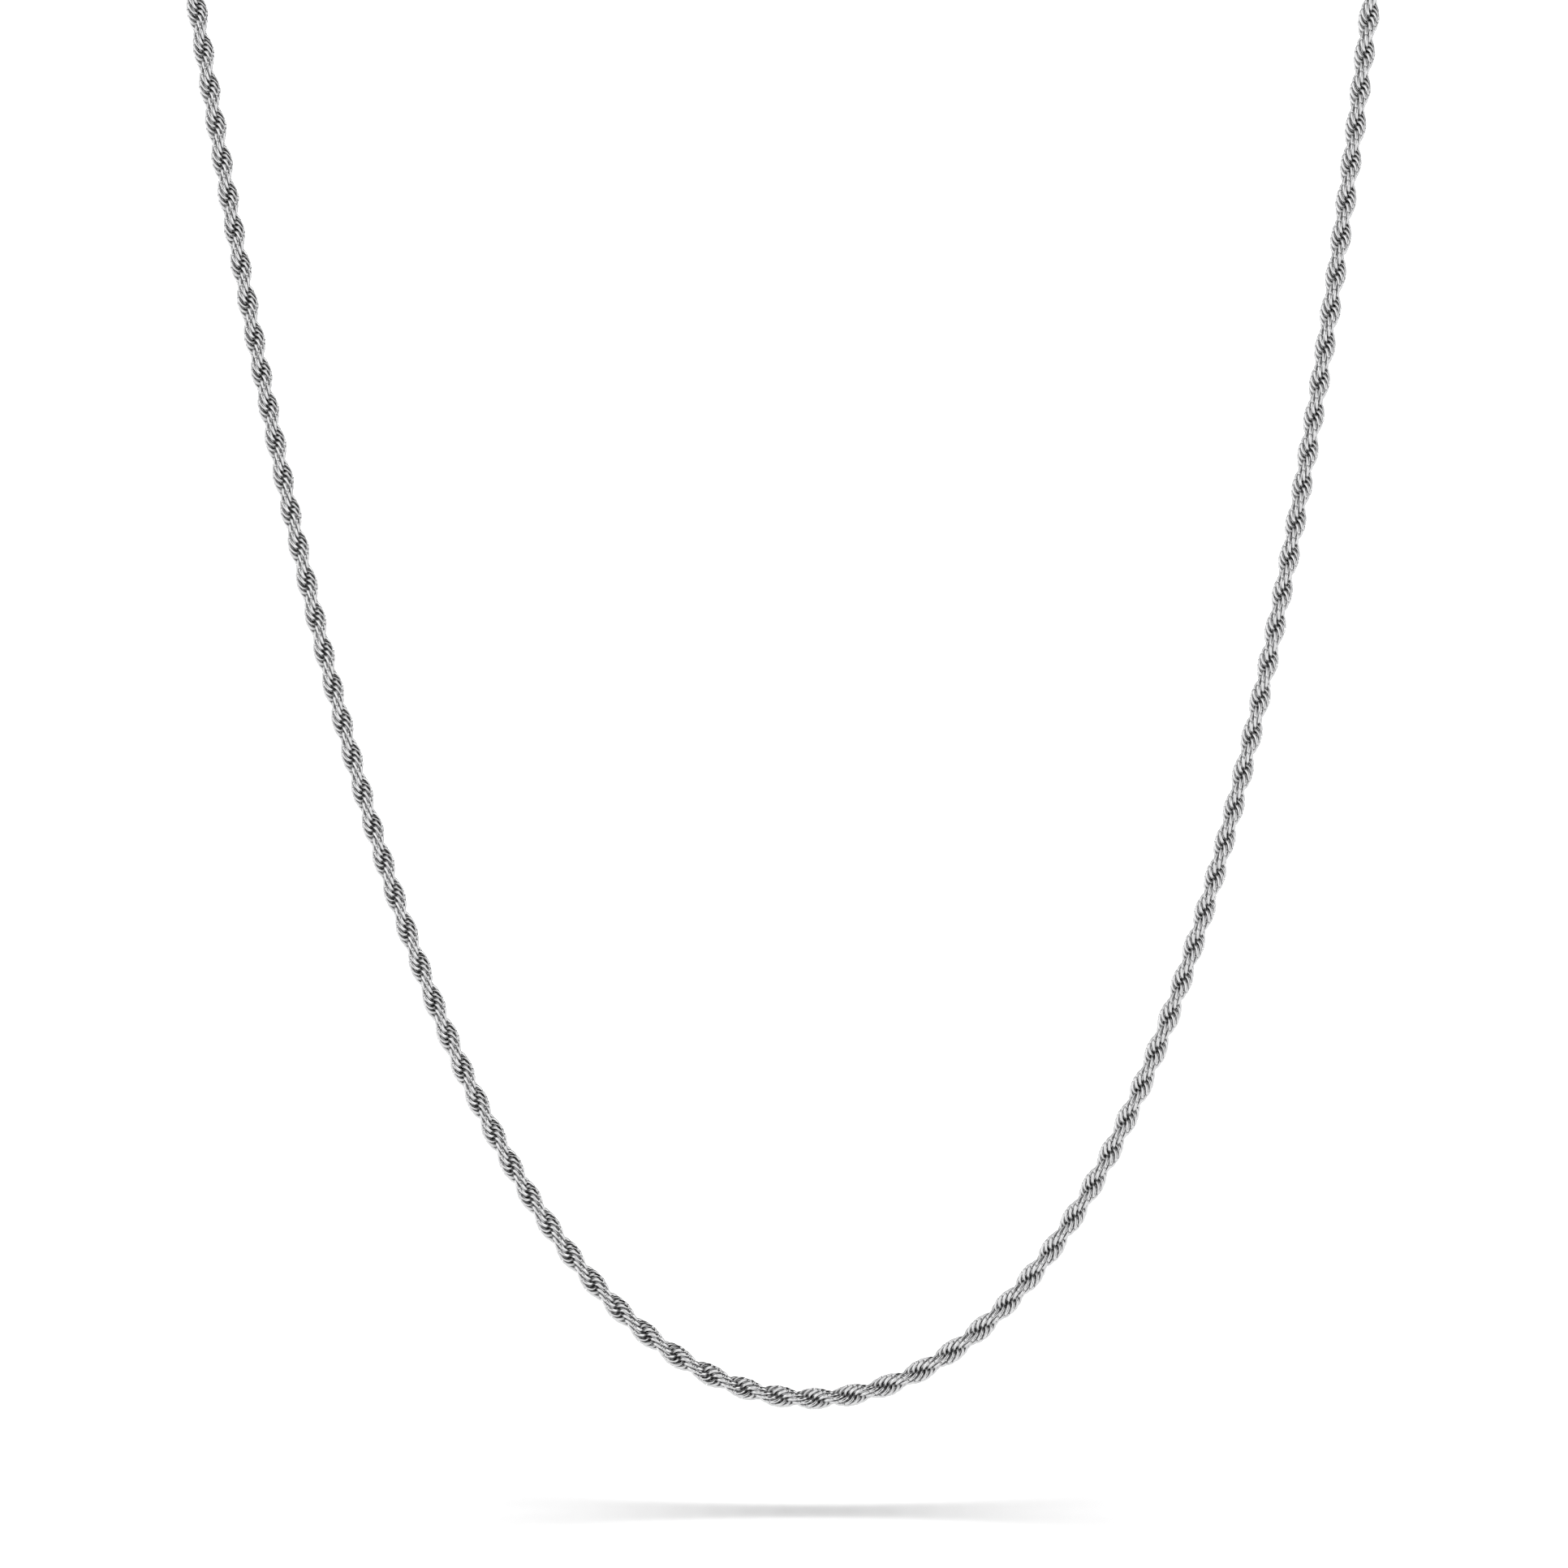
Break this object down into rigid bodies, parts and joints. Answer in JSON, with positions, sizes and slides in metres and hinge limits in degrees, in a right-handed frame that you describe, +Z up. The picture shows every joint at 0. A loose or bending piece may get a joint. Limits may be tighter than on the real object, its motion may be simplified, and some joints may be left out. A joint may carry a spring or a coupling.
{
  "type": "chain necklace",
  "caption": "Rope-chain necklace of interlinked round wire links with end caps, jump ring and a sprung lobster clasp, hung as a closed loop over two pegs.",
  "frame": {"origin": "midway between the axes of the two pegs that the necklace hangs on", "axes": "+Z up, +X to the right along the line of the pegs, +Y away from the viewer along the pegs"},
  "size_m": [0.15, 0.0044, 0.2061],
  "materials": {
    "chain_steel": "polished",
    "fitting_steel": "polished",
    "clasp_steel": "polished, softly worn",
    "pin_steel": "polished",
    "spring_steel": "drawn wire"
  },
  "bodies": {
    "root": {"chain_over_peg_left": "chain_steel", "chain_over_peg_right": "chain_steel"},
    "drape_1": {"chain_left_1": "chain_steel", "chain_right_1": "chain_steel"},
    "drape_2": {"chain_left_2": "chain_steel", "chain_right_2": "chain_steel"},
    "drape_3": {"chain_left_3": "chain_steel", "chain_right_3": "chain_steel"},
    "drape_4": {"chain_left_4": "chain_steel", "chain_right_4": "chain_steel"},
    "drape_bottom": {"chain_bottom": "chain_steel"},
    "back": {"chain_back_left": "chain_steel", "chain_back_right": "chain_steel", "end_cap_left": "fitting_steel", "end_cap_right": "fitting_steel", "end_loop_left": "fitting_steel", "end_loop_right": "fitting_steel"},
    "jump_ring": {"jump_ring": "fitting_steel"},
    "clasp": {"clasp_body": "clasp_steel", "clasp_pin": "pin_steel", "clasp_spring": "spring_steel"},
    "clasp_lever": {"clasp_lever": "clasp_steel"},
    "catch_ring": {"catch_ring": "fitting_steel"}
  },
  "joints": [
    {"name": "drape_swing", "type": "hinge", "parent": "root", "child": "drape_1", "pos_m": [0, 0, -0.00061], "axis": [1, 0, 0], "range_deg": [-40, 40]},
    {"name": "drape_flex_1", "type": "hinge", "parent": "drape_1", "child": "drape_2", "pos_m": [0, 0, -0.05035], "axis": [1, 0, 0], "range_deg": [-35, 35]},
    {"name": "drape_flex_2", "type": "hinge", "parent": "drape_2", "child": "drape_3", "pos_m": [0, 0, -0.09334], "axis": [1, 0, 0], "range_deg": [-35, 35]},
    {"name": "drape_flex_3", "type": "hinge", "parent": "drape_3", "child": "drape_4", "pos_m": [0, 0, -0.13634], "axis": [1, 0, 0], "range_deg": [-35, 35]},
    {"name": "drape_flex_4", "type": "hinge", "parent": "drape_4", "child": "drape_bottom", "pos_m": [0, 0, -0.17635], "axis": [1, 0, 0], "range_deg": [-35, 35]},
    {"name": "back_swing", "type": "hinge", "parent": "root", "child": "back", "pos_m": [0, 0, 0.00511], "axis": [1, 0, 0], "range_deg": [-60, 60]},
    {"name": "jump_ring_roll", "type": "hinge", "parent": "back", "child": "jump_ring", "pos_m": [0, 0, -0.00096], "axis": [1, 0, 0], "range_deg": [-20, 20]},
    {"name": "clasp_roll", "type": "hinge", "parent": "jump_ring", "child": "clasp", "pos_m": [0, 0, -0.00096], "axis": [1, 0, 0], "range_deg": [-20, 20]},
    {"name": "catch_ring_roll", "type": "hinge", "parent": "back", "child": "catch_ring", "pos_m": [0, 0, -0.00096], "axis": [1, 0, 0], "range_deg": [-20, 20]},
    {"name": "clasp_lever_press", "type": "hinge", "parent": "clasp", "child": "clasp_lever", "pos_m": [-0.00077, 0, -0.00021], "axis": [0, 1, 0], "range_deg": [0, 28], "stiffness_Nm_per_rad": 0.002, "springref_deg": -17.19, "deforming": ["clasp_spring"]}
  ],
  "couplings": [
    {"joint": "clasp_roll", "follows": "jump_ring_roll", "ratio": 1},
    {"joint": "catch_ring_roll", "follows": "jump_ring_roll", "ratio": 1}
  ]
}
